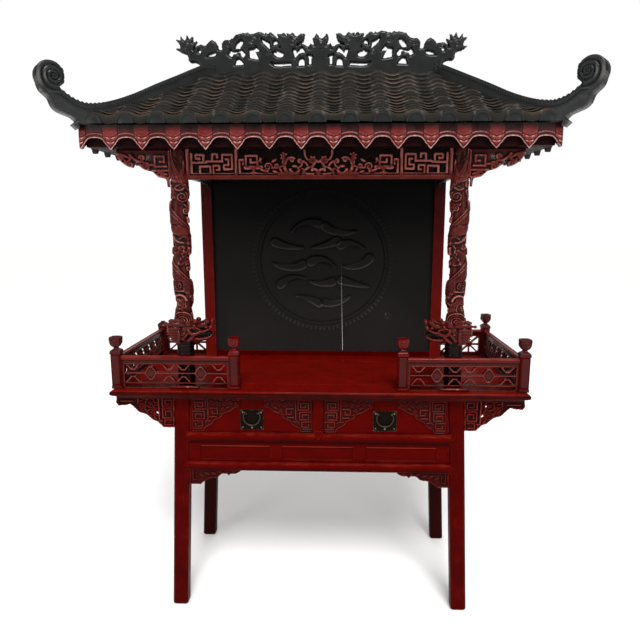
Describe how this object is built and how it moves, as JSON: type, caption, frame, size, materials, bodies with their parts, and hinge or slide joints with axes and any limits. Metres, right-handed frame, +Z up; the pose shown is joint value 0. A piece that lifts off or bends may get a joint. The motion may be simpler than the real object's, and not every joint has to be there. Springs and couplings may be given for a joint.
{
  "type": "altar shrine cabinet",
  "caption": "Drawer table on splayed legs that carries a roofed shrine: a back screen between posts, dragon columns, low galleries and a hipped roof with upswept corners.",
  "frame": {"origin": "middle of the footprint, on the floor", "axes": "+X to the viewer's right, -Y out of the front with the drawers, +Z up"},
  "size_m": [1.765, 0.8144, 2.127],
  "materials": {
    "red_lacquer": "satin red lacquer over wood, rubbed at the edges",
    "dark_red_lacquer": "ox-blood lacquer, satin",
    "carved_lacquer": "carved red lacquer, paler where the raised edges are rubbed",
    "black_lacquer": "matte black lacquer",
    "satin_black_lacquer": "satin black lacquer",
    "rubbed_tile_lacquer": "black lacquer rubbed brown on the raised tile edges",
    "dark_bronze": "dark patinated bronze sheet",
    "worn_bronze": "worn, brighter bronze bar"
  },
  "bodies": {
    "cabinet": {"back_board": "dark_red_lacquer", "column_left": "carved_lacquer", "column_right": "carved_lacquer", "crest": "satin_black_lacquer", "drawer_deck": "red_lacquer", "fascia_back": "carved_lacquer", "fascia_front": "carved_lacquer", "fascia_left": "carved_lacquer", "fascia_right": "carved_lacquer", "frieze": "carved_lacquer", "front_panel_board": "red_lacquer", "gallery_back_left": "carved_lacquer", "gallery_back_right": "carved_lacquer", "gallery_front_left": "carved_lacquer", "gallery_front_right": "carved_lacquer", "gallery_post_back_left_corner": "red_lacquer", "gallery_post_back_right_corner": "red_lacquer", "gallery_post_front_left_corner": "red_lacquer", "gallery_post_front_left_inner": "red_lacquer", "gallery_post_front_right_corner": "red_lacquer", "gallery_post_front_right_inner": "red_lacquer", "gallery_side_left": "carved_lacquer", "gallery_side_right": "carved_lacquer", "hip_back_left": "satin_black_lacquer", "hip_back_right": "satin_black_lacquer", "hip_front_left": "satin_black_lacquer", "hip_front_right": "satin_black_lacquer", "leg_back_left": "dark_red_lacquer", "leg_back_right": "dark_red_lacquer", "leg_front_left": "dark_red_lacquer", "leg_front_right": "dark_red_lacquer", "lower_rail": "red_lacquer", "mid_rail": "red_lacquer", "roof_frame": "satin_black_lacquer", "roof_slope_back": "rubbed_tile_lacquer", "roof_slope_front": "rubbed_tile_lacquer", "roof_slope_left": "rubbed_tile_lacquer", "roof_slope_right": "rubbed_tile_lacquer", "screen_bottom_rail": "red_lacquer", "screen_panel": "black_lacquer", "screen_post_left": "red_lacquer", "screen_post_right": "red_lacquer", "side_board_left": "dark_red_lacquer", "side_board_right": "dark_red_lacquer", "side_frieze_left": "satin_black_lacquer", "side_frieze_right": "satin_black_lacquer", "table_top": "red_lacquer", "table_wing_left": "carved_lacquer", "table_wing_right": "carved_lacquer", "under_bracket_left": "carved_lacquer", "under_bracket_right": "carved_lacquer", "upper_wing_left": "carved_lacquer", "upper_wing_right": "carved_lacquer"},
    "drawer_left": {"drawer_left": "red_lacquer", "pull_plate_left": "dark_bronze"},
    "drawer_right": {"drawer_right": "red_lacquer", "pull_plate_right": "dark_bronze"},
    "bail_left": {"bail_left": "worn_bronze"},
    "bail_right": {"bail_right": "worn_bronze"}
  },
  "joints": [
    {"name": "drawer_left_slide", "type": "slide", "parent": "cabinet", "child": "drawer_left", "axis": [0, -1, 0], "range_m": [0, 0.36]},
    {"name": "drawer_right_slide", "type": "slide", "parent": "cabinet", "child": "drawer_right", "axis": [0, -1, 0], "range_m": [0, 0.36]},
    {"name": "bail_left_swing", "type": "hinge", "parent": "drawer_left", "child": "bail_left", "pos_m": [-0.2385, -0.2673, 0.772], "axis": [-1, 0, 0], "range_deg": [0, 100]},
    {"name": "bail_right_swing", "type": "hinge", "parent": "drawer_right", "child": "bail_right", "pos_m": [0.2385, -0.2673, 0.772], "axis": [-1, 0, 0], "range_deg": [0, 100]}
  ]
}
